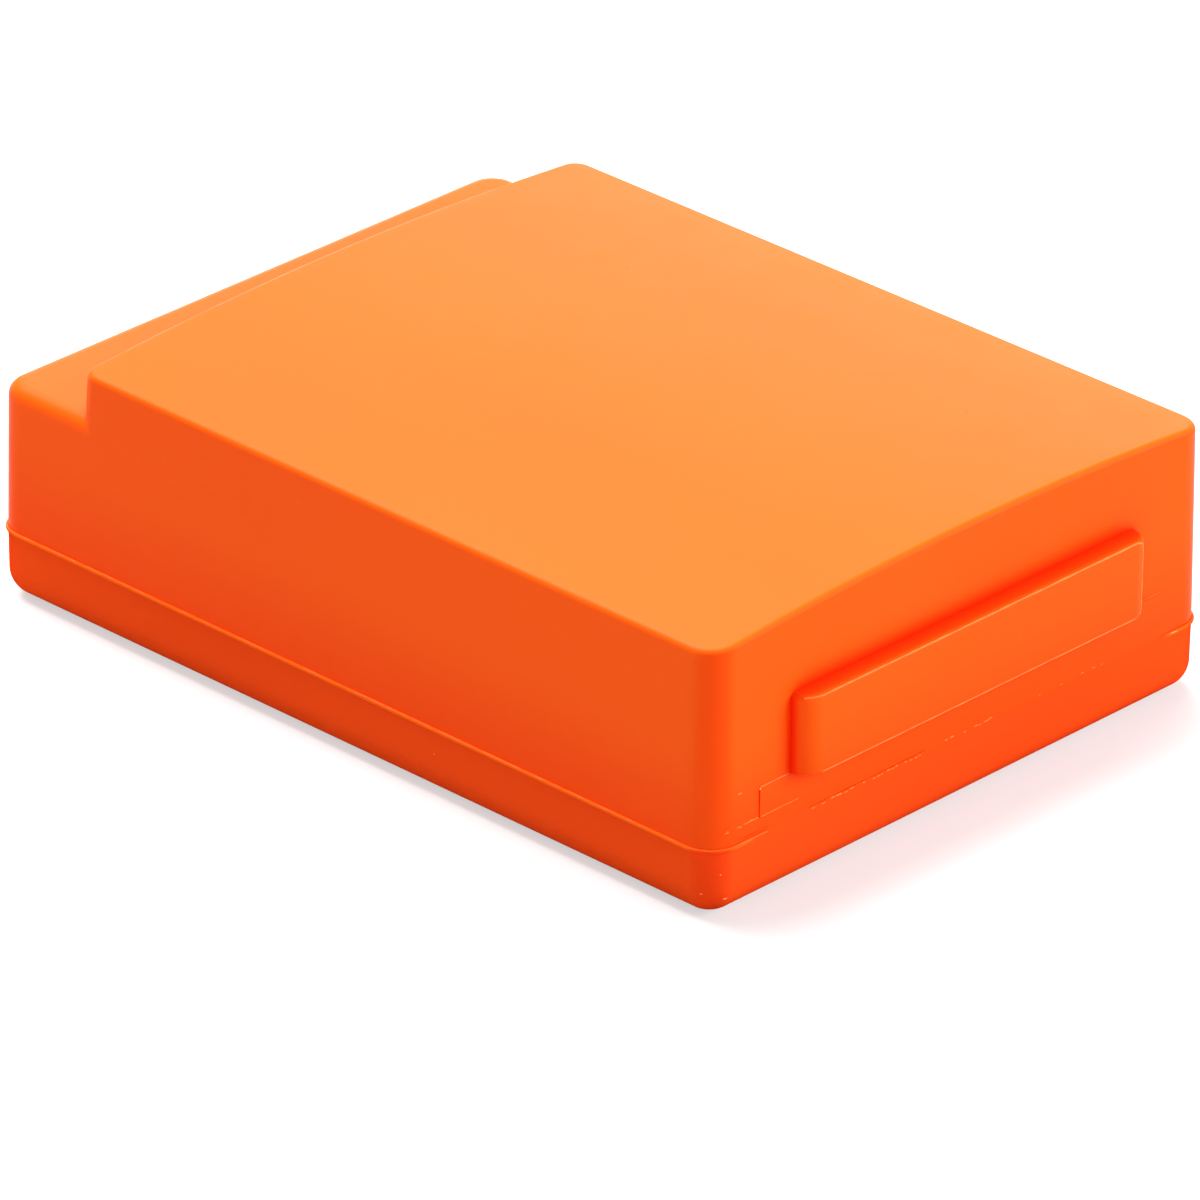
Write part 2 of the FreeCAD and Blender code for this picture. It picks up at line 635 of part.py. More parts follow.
def build():
    """Every piece of the pack, by name."""
    pieces = {"upper_case": upper_case(), "lower_case": lower_case()}
    for index in range(CELL_COUNT):
        pieces[f"cell_{index + 1}"] = cell(index)
        pieces[f"insulator_ring_{index + 1}"] = insulator_ring(index)
    for index in range(CELL_COUNT - 1):
        pieces[f"link_strip_{index + 1}"] = link_strip(index)
    pieces["negative_lead"] = end_lead(-1, CELL_X[0], NEGATIVE_LEAD_X)
    pieces["positive_lead"] = end_lead(1, CELL_X[-1], POSITIVE_LEAD_X)
    pieces["bus_strip"] = bus_strip()
    pieces["resettable_fuse"] = resettable_fuse()
    pieces["negative_contact"] = contact(-1)
    pieces["positive_contact"] = contact(1)
    return pieces


os.makedirs("parts", exist_ok=True)
for name, shape in build().items():
    shape.exportStep(f"parts/{name}.step")
    print(f"{name}: {len(shape.Solids)} solid, valid {shape.isValid()}, {shape.Volume:.1f} mm3")
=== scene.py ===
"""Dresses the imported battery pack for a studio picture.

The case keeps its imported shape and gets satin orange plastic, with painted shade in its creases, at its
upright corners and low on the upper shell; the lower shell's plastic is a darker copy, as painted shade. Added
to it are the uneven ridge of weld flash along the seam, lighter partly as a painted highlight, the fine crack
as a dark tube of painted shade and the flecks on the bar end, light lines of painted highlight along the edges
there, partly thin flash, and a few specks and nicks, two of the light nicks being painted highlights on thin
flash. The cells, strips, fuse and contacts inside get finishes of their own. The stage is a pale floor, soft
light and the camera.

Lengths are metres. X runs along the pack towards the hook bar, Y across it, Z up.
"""
import math

import bmesh
import bpy
from bpy.props import FloatProperty, FloatVectorProperty, IntProperty, PointerProperty
from mathutils import Matrix, Vector


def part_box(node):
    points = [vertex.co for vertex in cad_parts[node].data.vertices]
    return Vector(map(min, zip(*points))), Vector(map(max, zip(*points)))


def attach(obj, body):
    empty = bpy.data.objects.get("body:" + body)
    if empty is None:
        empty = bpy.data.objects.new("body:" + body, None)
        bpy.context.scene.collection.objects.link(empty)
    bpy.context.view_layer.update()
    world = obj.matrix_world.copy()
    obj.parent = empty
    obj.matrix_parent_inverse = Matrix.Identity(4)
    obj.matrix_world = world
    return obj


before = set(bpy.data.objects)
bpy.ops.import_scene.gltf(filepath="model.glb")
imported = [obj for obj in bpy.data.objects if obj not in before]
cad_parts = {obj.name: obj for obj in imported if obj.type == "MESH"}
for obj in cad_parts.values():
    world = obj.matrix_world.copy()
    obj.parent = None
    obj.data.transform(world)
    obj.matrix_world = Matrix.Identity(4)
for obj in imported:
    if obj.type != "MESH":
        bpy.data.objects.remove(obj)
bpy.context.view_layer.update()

bl_info = {
    "name": "Battery pack dressing",
    "version": (1, 0, 0),
    "blender": (4, 5, 0),
    "location": "3D View > Sidebar > Battery pack",
    "description": "Finishes, weld flash and studio for a two-shell battery pack",
    "category": "Object",
}

MM = 0.001
BODY = "root"
CELL_COUNT = 5
UPPER_LOW, UPPER_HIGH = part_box("upper_case")
LOWER_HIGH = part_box("lower_case")[1]
SEAM_HEIGHT = UPPER_LOW.z
LONG_WALL_Y = UPPER_HIGH.y
END_WALL_X = -UPPER_LOW.x
FLASH_REACH = LOWER_HIGH.y - LONG_WALL_Y
SHELLS = ("upper_case", "lower_case")
CORNER_RADIUS = 2.5 * MM
SENSOR_WIDTH = 36.0
PICTURE_SIZE = 1200.0
FLOOR_GAP = 0.02 * MM
FLOOR_SIDES = 96
# Largest share of its light that a surface sends back
MOST_REFLECTED = 0.97
# Span that most of a noise's values lie in
NOISE_LOW, NOISE_HIGH = 0.3, 0.7
# Upward part of a face's direction, up to which it is a wall and from which it is a top
WALL_RISE, TOP_RISE = 0.2, 0.7
# Openness of a place deep in a crease and of one clear of it, and how much a crease tells on a top,
# for the painted crease shade
CREASE_OPEN, CLEAR_OPEN = 0.55, 0.95
CREASE_ON_TOP = 0.6
# Share of its reach at which flash starts to show, and of a corner's square at which the corner is full
FLASH_START = 0.3
CORNER_FULL = 0.4


def colour_setting(label, text, value):
    """Linear colour that a user may change."""
    return FloatVectorProperty(name=label, description=text, default=(*value, 1.0), size=4, min=0.0, max=1.0,
                               subtype="COLOR")


def length_setting(label, text, value):
    """Length in metres that a user may change."""
    return FloatProperty(name=label, description=text, default=value, min=0.0, precision=5, unit="LENGTH",
                         subtype="DISTANCE")


def share_setting(label, text, value):
    """Number from 0 to 1 that a user may change."""
    return FloatProperty(name=label, description=text, default=value, min=0.0, max=1.0, subtype="FACTOR")


def number_setting(label, text, value):
    """Plain number that a user may change."""
    return FloatProperty(name=label, description=text, default=value, min=0.0)


def pixel_setting(label, text, value):
    """Place in the picture that a user may change, in pixels."""
    return FloatProperty(name=label, description=text, default=value, subtype="PIXEL")


def power_setting(label, text, watts):
    """Power of a lamp that a user may change."""
    return FloatProperty(name=label, description=text, default=watts, min=0.0, unit="POWER")


def angle_setting(label, text, degrees):
    """Angle that a user may change, written in degrees."""
    return FloatProperty(name=label, description=text, default=math.radians(degrees), subtype="ANGLE")


class PackCaseSettings(bpy.types.PropertyGroup):
    """Finish of the two shells."""
    upper_colour: colour_setting("Upper shell", "Plastic of the upper shell", (0.96, 0.092, 0.0045))
    # Darker copy of the upper shell's plastic: painted shade over the lower shell, near the floor.
    lower_shaded_colour: colour_setting("Lower shell", "Plastic of the lower shell", (0.94, 0.072, 0.0090))
    # Painted shade: the plastic turns redder and darker in its creases, found by ambient occlusion.
    crease_shade_depth: share_setting("Crease shade depth", "How much redder the plastic is in its creases", 0.8)
    crease_shade_reach: length_setting("Crease shade reach", "How far a crease's red reaches out of it", 2.4 * MM)
    # Painted shade: the upper shell turns redder and darker down towards the seam, where less light reaches
    # near the floor.
    low_shade_depth: share_setting("Low shade depth", "How much redder the upper shell is down at the seam", 0.22)
    low_shade_reach: length_setting("Low shade reach", "How far above the seam that red fades out", 9.0 * MM)
    # Painted shade at the upright corners.
    corner_shade_depth: share_setting("Corner shade depth", "How much redder the plastic is at its upright corners", 0.2)
    flow_tint: share_setting("Flow tint", "How far the moulding's flow marks lighten the plastic", 0.08)
    roughness: share_setting("Roughness", "Middle roughness of the plastic", 0.34)
    roughness_spread: share_setting("Roughness spread", "How far the roughness varies", 0.03)
    upper_gloss: share_setting("Upper gloss", "Specular level of the upper shell", 0.03)
    lower_gloss: share_setting("Lower gloss", "Specular level of the lower shell", 0.0)
    grain_depth: length_setting("Grain depth", "Depth of the fine moulded grain", 0.004 * MM)
    wave_depth: length_setting("Wave depth", "Depth of the slow waves in the walls", 0.02 * MM)


class PackSeamSettings(bpy.types.PropertyGroup):
    """Weld flash, the crack's painted shade and flecks at the seam, painted highlight lines along edges, and
    the marks of handling, two of which are painted highlights.
    """
    ridge_radius: length_setting("Ridge radius", "Largest radius of the flash ridge", 0.45 * FLASH_REACH)
    ridge_drop: length_setting("Ridge drop", "How far the ridge's middle lies below the seam", 0.08 * MM)
    ridge_step: length_setting("Ridge step", "Distance between points along the ridge", 0.5 * MM)
    ridge_wander: length_setting("Ridge wander", "How far the ridge wanders up and down", 0.06 * MM)
    corner_run: length_setting("Corner run", "How far the ridge comes round onto the bar end", 3.5 * MM)
    crack_radius: length_setting("Crack radius", "Half the width of the crack on the bar end", 0.06 * MM)
    # The light lines by the bar and the core mark are painted highlights, partly thin flash at the core mark.
    highlight_radius: length_setting("Highlight line radius", "Half the width of the light lines by the bar", 0.09 * MM)
    fine_radius: length_setting("Fine line radius", "Half the width of the core mark's fine lines", 0.04 * MM)
    fleck_length: length_setting("Fleck length", "Longest fleck of flash", 0.7 * MM)
    fleck_spacing: length_setting("Fleck spacing", "Distance between flecks along a run", 0.5 * MM)
    # Lighter than the shells: thin flash, and partly a painted highlight along the bead's top.
    flash_and_highlight_colour: colour_setting("Flash", "Plastic of the squeezed-out flash", (0.96, 0.13, 0.010))
    # Also the colour of the light lines of painted highlight by the bar.
    fleck_and_highlight_colour: colour_setting("Fleck", "Plastic of the flecks at the seam", (0.96, 0.19, 0.030))
    crack_colour: colour_setting("Crack", "Shade inside the crack", (0.60, 0.020, 0.0005))
    # Also the colour of two light marks that are painted highlights on thin flash.
    nick_and_glint_colour: colour_setting("Nick", "Bruised plastic in a nick", (0.96, 0.33, 0.11))
    speck_colour: colour_setting("Speck", "Dark speck moulded into the plastic", (0.30, 0.030, 0.004))
    seed: IntProperty(name="Seed", description="Seed of everything uneven at the seam", default=7, min=0)


class PackInsideSettings(bpy.types.PropertyGroup):
    """Finish of the pieces inside the case."""
    sleeve_colour: colour_setting("Cell sleeve", "Shrink film round each cell", (0.025, 0.19, 0.075))
    paper_colour: colour_setting("Ring paper", "Paper washers on the cells", (0.78, 0.74, 0.62))
    nickel_colour: colour_setting("Nickel", "Strips and leads", (0.66, 0.63, 0.58))
    plating_colour: colour_setting("Contact plating", "Plated contacts", (0.83, 0.60, 0.24))
    fuse_colour: colour_setting("Fuse film", "Film round the fuse", (0.72, 0.42, 0.045))
    weld_radius: length_setting("Weld radius", "Radius of a spot weld", 0.45 * MM)
    weld_height: length_setting("Weld height", "How far a spot weld stands up", 0.05 * MM)
    weld_offset: length_setting("Weld offset", "Distance of a spot weld from its cell's axis", 1.25 * MM)


class PackStageSettings(bpy.types.PropertyGroup):
    """Floor, light and camera."""
    floor_colour: colour_setting("Floor", "Pale floor", (0.42, 0.42, 0.42))
    floor_radius: length_setting("Floor radius", "Radius of the floor disc", 3.0)
    floor_lift: share_setting("Floor lift", "White that the floor adds to camera and reflections", 0.55)
    ambient: number_setting("Ambient", "Level of the light from all round", 0.16)
    key_power: power_setting("Key", "Power of the light overhead", 23.0)
    end_power: power_setting("End fill", "Power of the light on the bar end", 4.5)
    side_power: power_setting("Side fill", "Power of the light on the long side", 0.6)
    front_power: power_setting("Front fill", "Power of the light on the front corner", 1.8)
    back_power: power_setting("Back light", "Power of the low light behind the pack", 1.8)
    azimuth: angle_setting("Azimuth", "Camera's turn from -Y towards +X", 43.6191)
    elevation: angle_setting("Elevation", "Camera's height above the horizon", 27.2734)
    roll: angle_setting("Roll", "Camera's turn about its own line of sight", 0.6973)
    distance: length_setting("Distance", "From the camera to the aim point", 0.8862)
    lens: FloatProperty(name="Lens", description="Focal length in millimetres", default=343.63, min=1.0,
                        subtype="DISTANCE_CAMERA")
    aim_height: length_setting("Aim height", "Height of the aim point on the pack's own axis", 10 * MM)
    aim_across: pixel_setting("Aim across", "From the picture's left edge to the aim point", 596.47)
    aim_down: pixel_setting("Aim down", "From the picture's top edge to the aim point", 522.0)


def add(tree, kind, values=None, **settings):
    """New node with its settings, and with values for its unlinked inputs by name or number."""
    node = tree.nodes.new(kind)
    for name, value in settings.items():
        setattr(node, name, value)
    for key, value in (values or {}).items():
        node.inputs[key].default_value = value
    return node


def feed(tree, socket, value):
    """Link a socket to an output, or set its plain value."""
    if isinstance(value, bpy.types.NodeSocket):
        tree.links.new(value, socket)
    else:
        socket.default_value = value


class Finish:
    """One procedural material on Object coordinates."""

    def __init__(self, name, values):
        self.material = bpy.data.materials.new(name)
        self.material.use_nodes = True
        self.tree = self.material.node_tree
        self.surface = self.tree.nodes["Principled BSDF"]
        self.place = add(self.tree, "ShaderNodeTexCoord").outputs["Object"]
        self.relief = None
        for socket, value in values.items():
            self.surface.inputs[socket].default_value = value

    def noise(self, scale, detail=2.0, stretch=(1.0, 1.0, 1.0)):
        """Noise from 0 to 1, with its features drawn out by stretch."""
        mapping = add(self.tree, "ShaderNodeMapping", {"Scale": [1 / share for share in stretch]})
        self.tree.links.new(self.place, mapping.inputs["Vector"])
        noise = add(self.tree, "ShaderNodeTexNoise", {"Scale": scale, "Detail": detail})
        self.tree.links.new(mapping.outputs["Vector"], noise.inputs["Vector"])
        return noise.outputs["Fac"]

    def ranged(self, value, low, high, to_low=0.0, to_high=1.0):
        """Value carried smoothly from one range to another."""
        node = add(self.tree, "ShaderNodeMapRange", {1: low, 2: high, 3: to_low, 4: to_high},
                   interpolation_type="SMOOTHSTEP")
        self.tree.links.new(value, node.inputs[0])
        return node.outputs[0]

    def cloudy(self, noise, to_low=0.0, to_high=1.0):
        """Noise spread over a whole range."""
        return self.ranged(noise, NOISE_LOW, NOISE_HIGH, to_low, to_high)

    def mixed(self, share, first, second):
        """Colour between two colours."""
        node = add(self.tree, "ShaderNodeMix", data_type="RGBA")
        feed(self.tree, node.inputs[0], share)
        feed(self.tree, node.inputs[6], first)
        feed(self.tree, node.inputs[7], second)
        return node.outputs[2]

    def upright(self, level=0.0):
        """1 on walls, falling to a level on faces that look up."""
        normal = add(self.tree, "ShaderNodeNewGeometry").outputs["Normal"]
        return self.ranged(self.axis(normal, "Z"), WALL_RISE, TOP_RISE, 1.0, level)

    def crease_shade_mask(self, reach):
        """Mask of painted crease shade: 1 deep in a crease of the piece's own shape, less on its upper faces,
        0 on its open ones.
        """
        node = add(self.tree, "ShaderNodeAmbientOcclusion", {"Distance": reach}, samples=8, only_local=True)
        crease = self.ranged(node.outputs["AO"], CREASE_OPEN, CLEAR_OPEN, 1.0, 0.0)
        return self.product(crease, self.upright(CREASE_ON_TOP))

    def axis(self, vector, name):
        """One coordinate of a vector."""
        node = add(self.tree, "ShaderNodeSeparateXYZ")
        self.tree.links.new(vector, node.inputs[0])
        return node.outputs[name]

    def product(self, first, second):
        """Two numbers multiplied."""
        node = add(self.tree, "ShaderNodeMath", operation="MULTIPLY")
        self.tree.links.new(first, node.inputs[0])
        self.tree.links.new(second, node.inputs[1])
        return node.outputs[0]

    def past_flats(self):
        """How far a place lies past the flat middle of the walls, along X and Y."""
        flat_half = (END_WALL_X - CORNER_RADIUS, LONG_WALL_Y - CORNER_RADIUS, 1.0)
        past = self.place
        for operation, value in (("ABSOLUTE", (0, 0, 0)), ("SUBTRACT", flat_half), ("MAXIMUM", (0, 0, 0))):
            node = add(self.tree, "ShaderNodeVectorMath", {1: value}, operation=operation)
            self.tree.links.new(past, node.inputs[0])
            past = node.outputs["Vector"]
        return past

    def proud(self, reach):
        """1 on what stands out of the case's walls by more than a reach, 0 on the walls."""
        node = add(self.tree, "ShaderNodeVectorMath", operation="LENGTH")
        self.tree.links.new(self.past_flats(), node.inputs[0])
        start = CORNER_RADIUS + FLASH_START * reach
        return self.ranged(node.outputs["Value"], start, CORNER_RADIUS + reach)

    def corner(self):
        """1 round the case's upright corners, 0 on its flat walls and its top."""
        past = self.past_flats()
        both = self.product(self.axis(past, "X"), self.axis(past, "Y"))
        return self.product(self.ranged(both, 0.0, CORNER_FULL * CORNER_RADIUS ** 2), self.upright())

    def colour(self, value):
        """Base colour."""
        feed(self.tree, self.surface.inputs["Base Color"], value)

    def rough(self, value):
        """Roughness."""
        feed(self.tree, self.surface.inputs["Roughness"], value)

    def bump(self, height, depth):
        """Relief of the given depth, on top of any relief so far."""
        node = add(self.tree, "ShaderNodeBump", {"Strength": 1.0, "Distance": depth})
        self.tree.links.new(height, node.inputs["Height"])
        if self.relief:
            self.tree.links.new(self.relief, node.inputs["Normal"])
        self.relief = node.outputs["Normal"]
        feed(self.tree, self.surface.inputs["Normal"], self.relief)


def lighter(colour, share):
    """Colour moved towards white by a share."""
    return [part + (1.0 - part) * share for part in colour[:3]] + [1.0]


def brighter(colour, share):
    """Colour scaled up by a share, or down by a negative one, as far as a surface can reflect."""
    return [min(MOST_REFLECTED, part * (1.0 + share)) for part in colour[:3]] + [1.0]


def redder(colour, share):
    """Colour with its green and blue taken down by a share."""
    return [colour[0], colour[1] * (1.0 - share), colour[2] * (1.0 - share), 1.0]


def moulded_plastic(name, colour, gloss, case, flash_and_highlight_colour=None):
    """Satin moulded plastic: slow flow marks, painted shade at corners and in creases, fine grain, slightly
    wavy walls.

    The shell that carries the bead of flash gets the flash's lighter colour there, partly a painted highlight,
    and the other shell gets painted shade, turning redder and darker towards the seam.
    """
    finish = Finish(name, {"Specular IOR Level": gloss})
    flow = finish.ranged(finish.noise(22.0, detail=3.0, stretch=(2.0, 1.0, 1.0)), low=0.35, high=0.70)
    shade = finish.mixed(flow, colour, brighter(colour, case.flow_tint))
    if flash_and_highlight_colour:
        # The bead takes the lighter flash colour: thin flash, and partly a painted highlight.
        shade = finish.mixed(finish.proud(FLASH_REACH / 2), shade, flash_and_highlight_colour)
    else:
        # Painted shade: redder and darker down towards the seam.
        height = finish.axis(finish.place, "Z")
        low_shade = finish.ranged(height, SEAM_HEIGHT, SEAM_HEIGHT + case.low_shade_reach, 1.0, 0.0)
        shade = finish.mixed(low_shade, shade, redder(colour, case.low_shade_depth))
    # Painted shade round the upright corners.
    shade = finish.mixed(finish.corner(), shade, redder(colour, case.corner_shade_depth))
    # Painted shade in the creases of the piece's own shape.
    shade = finish.mixed(finish.crease_shade_mask(case.crease_shade_reach), shade, redder(colour, case.crease_shade_depth))
    finish.colour(shade)
    smoothest = case.roughness - case.roughness_spread
    roughest = case.roughness + case.roughness_spread
    finish.rough(finish.cloudy(finish.noise(260.0, detail=4.0), smoothest, roughest))
    finish.bump(finish.noise(60.0, detail=1.0), case.wave_depth)
    finish.bump(finish.noise(3200.0), case.grain_depth)
    return finish.material


def flash_plastic(name, colour, roughness=0.5, gloss=0.15):
    """Thin squeezed-out plastic, brighter where it is thinnest."""
    finish = Finish(name, {"Specular IOR Level": gloss})
    thinness = finish.cloudy(finish.noise(900.0, detail=3.0))
    finish.colour(finish.mixed(thinness, colour, brighter(colour, share=0.3)))
    finish.rough(finish.cloudy(finish.noise(1500.0), roughness - 0.1, roughness + 0.1))
    finish.bump(finish.noise(4000.0), depth=0.006 * MM)
    return finish.material


def shrink_film(inside):
    """Glossy film shrunk round a cell, with fine ripples along it."""
    finish = Finish("shrink_film", {"Specular IOR Level": 0.5})
    tone = finish.cloudy(finish.noise(70.0, detail=3.0, stretch=(1.0, 6.0, 1.0)))
    finish.colour(finish.mixed(tone, inside.sleeve_colour, lighter(inside.sleeve_colour, share=0.05)))
    finish.rough(finish.cloudy(finish.noise(400.0, detail=3.0), to_low=0.22, to_high=0.36))
    finish.bump(finish.noise(320.0, stretch=(1.0, 8.0, 1.0)), depth=0.02 * MM)
    return finish.material


def fibre_paper(inside):
    """Pressed paper with short fibres."""
    finish = Finish("fibre_paper", {"Specular IOR Level": 0.2})
    fibres = finish.noise(1800.0, detail=5.0, stretch=(3.0, 1.0, 1.0))
    pale = lighter(inside.paper_colour, share=0.3)
    finish.colour(finish.mixed(finish.cloudy(fibres), inside.paper_colour, pale))
    finish.rough(finish.cloudy(fibres, to_low=0.75, to_high=0.9))
    finish.bump(fibres, depth=0.02 * MM)
    return finish.material


def rolled_metal(name, colour, roughness, stretch):
    """Rolled and plated metal with fine lines along its length and a dull bloom in patches."""
    finish = Finish(name, {"Metallic": 1.0})
    bloom = finish.ranged(finish.noise(240.0, detail=4.0), low=0.45, high=0.75)
    finish.colour(finish.mixed(bloom, colour, brighter(colour, share=-0.18)))
    lines = finish.noise(5000.0, stretch=stretch)
    finish.rough(finish.cloudy(lines, roughness - 0.08, roughness + 0.10))
    finish.bump(lines, depth=0.003 * MM)
    return finish.material


def fuse_film(inside):
    """Tough film round the fuse, with cloudy patches."""
    finish = Finish("fuse_film", {"Specular IOR Level": 0.4})
    cloud = finish.cloudy(finish.noise(500.0, detail=4.0))
    finish.colour(finish.mixed(cloud, inside.fuse_colour, lighter(inside.fuse_colour, share=0.12)))
    finish.rough(finish.ranged(cloud, 0.0, 1.0, to_low=0.35, to_high=0.5))
    finish.bump(finish.noise(900.0), depth=0.015 * MM)
    return finish.material


def dress(material, *names):
    """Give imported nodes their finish."""
    for name in names:
        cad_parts[name].data.materials.clear()
        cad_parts[name].data.materials.append(material)


def new_tree(name, sizes):
    """Geometry tree with one geometry input, a named input for each size, and one geometry output."""
    tree = bpy.data.node_groups.new(name, "GeometryNodeTree")
    tree.interface.new_socket("Geometry", in_out="INPUT", socket_type="NodeSocketGeometry")
    for label, kind in sizes.items():
        tree.interface.new_socket(label, in_out="INPUT", socket_type=kind)
    tree.interface.new_socket("Geometry", in_out="OUTPUT", socket_type="NodeSocketGeometry")
    return tree, add(tree, "NodeGroupInput").outputs


def close_tree(tree, geometry, material):
    """End a tree: smooth faces, plain mesh, one material."""
    smooth = add(tree, "GeometryNodeSetShadeSmooth")
    real = add(tree, "GeometryNodeRealizeInstances")
    paint = add(tree, "GeometryNodeSetMaterial", {"Material": material})
    tree.links.new(geometry, real.inputs["Geometry"])
    tree.links.new(real.outputs["Geometry"], smooth.inputs["Geometry"])
    tree.links.new(smooth.outputs["Geometry"], paint.inputs["Geometry"])
    tree.links.new(paint.outputs["Geometry"], add(tree, "NodeGroupOutput").inputs["Geometry"])
    return tree


def uneven_noise(tree, inputs, scale):
    """Noise that changes along a path and with the seed."""
    noise = add(tree, "ShaderNodeTexNoise", {"Scale": scale, "Detail": 3.0}, noise_dimensions="4D")
    tree.links.new(add(tree, "GeometryNodeInputPosition").outputs[0], noise.inputs["Vector"])
    tree.links.new(inputs["Seed"], noise.inputs["W"])
    return noise


# Fineness of a ridge's wander and of its thickness, its thinnest part, and the sides of its section
WANDER_SCALE = 420.0
THICKNESS_SCALE = 700.0
THINNEST_RIDGE = 0.6
RIDGE_SIDES = 8


def ridge_tree(name, material):
    """Tree that lays an uneven ridge along a path."""
    sizes = {"Radius": "NodeSocketFloat", "Step": "NodeSocketFloat", "Wander": "NodeSocketFloat",
             "Seed": "NodeSocketInt"}
    tree, inputs = new_tree(name, sizes)
    curve = add(tree, "GeometryNodeMeshToCurve")
    even = add(tree, "GeometryNodeResampleCurve", mode="LENGTH")
    tree.links.new(inputs["Geometry"], curve.inputs["Mesh"])
    tree.links.new(curve.outputs["Curve"], even.inputs["Curve"])
    tree.links.new(inputs["Step"], even.inputs["Length"])
    wander = add(tree, "ShaderNodeMapRange", {1: NOISE_LOW, 2: NOISE_HIGH, 3: -0.5, 4: 0.5})
    tree.links.new(uneven_noise(tree, inputs, WANDER_SCALE).outputs["Fac"], wander.inputs[0])
    rise = add(tree, "ShaderNodeMath", operation="MULTIPLY")
    tree.links.new(wander.outputs[0], rise.inputs[0])
    tree.links.new(inputs["Wander"], rise.inputs[1])
    offset = add(tree, "ShaderNodeCombineXYZ")
    tree.links.new(rise.outputs[0], offset.inputs["Z"])
    moved = add(tree, "GeometryNodeSetPosition")
    tree.links.new(even.outputs["Curve"], moved.inputs["Geometry"])
    tree.links.new(offset.outputs[0], moved.inputs["Offset"])
    thick = add(tree, "ShaderNodeMapRange", {1: 0.35, 2: 0.65, 3: THINNEST_RIDGE, 4: 1.0})
    tree.links.new(uneven_noise(tree, inputs, THICKNESS_SCALE).outputs["Fac"], thick.inputs[0])
    ring = add(tree, "GeometryNodeCurvePrimitiveCircle", {"Resolution": RIDGE_SIDES})
    tree.links.new(inputs["Radius"], ring.inputs["Radius"])
    body = add(tree, "GeometryNodeCurveToMesh", {"Fill Caps": True})
    tree.links.new(moved.outputs["Geometry"], body.inputs["Curve"])
    tree.links.new(ring.outputs["Curve"], body.inputs["Profile Curve"])
    tree.links.new(thick.outputs[0], body.inputs["Scale"])
    return close_tree(tree, body.outputs["Mesh"], material)


# How far a fleck strays from its run, its size as shares of the longest fleck, and the share of flecks kept
FLECK_STRAY = ((0.0, -0.2 * MM, -0.10 * MM), (0.0, 0.2 * MM, 0.04 * MM))
FLECK_SHARES = ((0.06, 0.30, 0.12), (0.10, 1.0, 0.22))
FLECKS_KEPT = 0.7


def fleck_tree(material):
    """Tree that scatters small flat flecks along a path on the bar end."""
    sizes = {"Length": "NodeSocketFloat", "Spacing": "NodeSocketFloat", "Seed": "NodeSocketInt"}
    tree, inputs = new_tree("seam flecks", sizes)
    curve = add(tree, "GeometryNodeMeshToCurve")
    points = add(tree, "GeometryNodeCurveToPoints", mode="LENGTH")
    tree.links.new(inputs["Geometry"], curve.inputs["Mesh"])
    tree.links.new(curve.outputs["Curve"], points.inputs["Curve"])
    tree.links.new(inputs["Spacing"], points.inputs["Length"])
    shift = add(tree, "FunctionNodeRandomValue", dict(enumerate(FLECK_STRAY)), data_type="FLOAT_VECTOR")
    size = add(tree, "FunctionNodeRandomValue", dict(enumerate(FLECK_SHARES)), data_type="FLOAT_VECTOR")
    kept = add(tree, "FunctionNodeRandomValue", {"Probability": FLECKS_KEPT}, data_type="BOOLEAN")
    for node in (shift, size, kept):
        tree.links.new(inputs["Seed"], node.inputs["Seed"])
    moved = add(tree, "GeometryNodeSetPosition")
    tree.links.new(points.outputs["Points"], moved.inputs["Geometry"])
    tree.links.new(shift.outputs[0], moved.inputs["Offset"])
    half = add(tree, "ShaderNodeMath", {1: 0.5}, operation="MULTIPLY")
    tree.links.new(inputs["Length"], half.inputs[0])
    blob = add(tree, "GeometryNodeMeshIcoSphere", {"Subdivisions": 2})
    tree.links.new(half.outputs[0], blob.inputs["Radius"])
    placed = add(tree, "GeometryNodeInstanceOnPoints")
    tree.links.new(moved.outputs["Geometry"], placed.inputs["Points"])
    tree.links.new(kept.outputs[3], placed.inputs["Selection"])
    tree.links.new(blob.outputs["Mesh"], placed.inputs["Instance"])
    tree.links.new(size.outputs[0], placed.inputs["Scale"])
    return close_tree(tree, placed.outputs["Instances"], material)


def weld_tree(material):
    """Tree that sets a flat round weld spot on every point, facing along Y."""
    tree, inputs = new_tree("spot welds", {"Radius": "NodeSocketFloat", "Height": "NodeSocketFloat"})
    points = add(tree, "GeometryNodeMeshToPoints")
    tree.links.new(inputs["Geometry"], points.inputs["Mesh"])
    scale = add(tree, "ShaderNodeCombineXYZ")
    tree.links.new(inputs["Radius"], scale.inputs["X"])
    tree.links.new(inputs["Height"], scale.inputs["Y"])
    tree.links.new(inputs["Radius"], scale.inputs["Z"])
    blob = add(tree, "GeometryNodeMeshIcoSphere", {"Radius": 1.0, "Subdivisions": 3})
    placed = add(tree, "GeometryNodeInstanceOnPoints")
    tree.links.new(points.outputs["Points"], placed.inputs["Points"])
    tree.links.new(blob.outputs["Mesh"], placed.inputs["Instance"])
    tree.links.new(scale.outputs[0], placed.inputs["Scale"])
    return close_tree(tree, placed.outputs["Instances"], material)


def link_piece(name, mesh):
    """New object at the origin with this mesh."""
    piece = bpy.data.objects.new(name, mesh)
    bpy.context.scene.collection.objects.link(piece)
    return piece


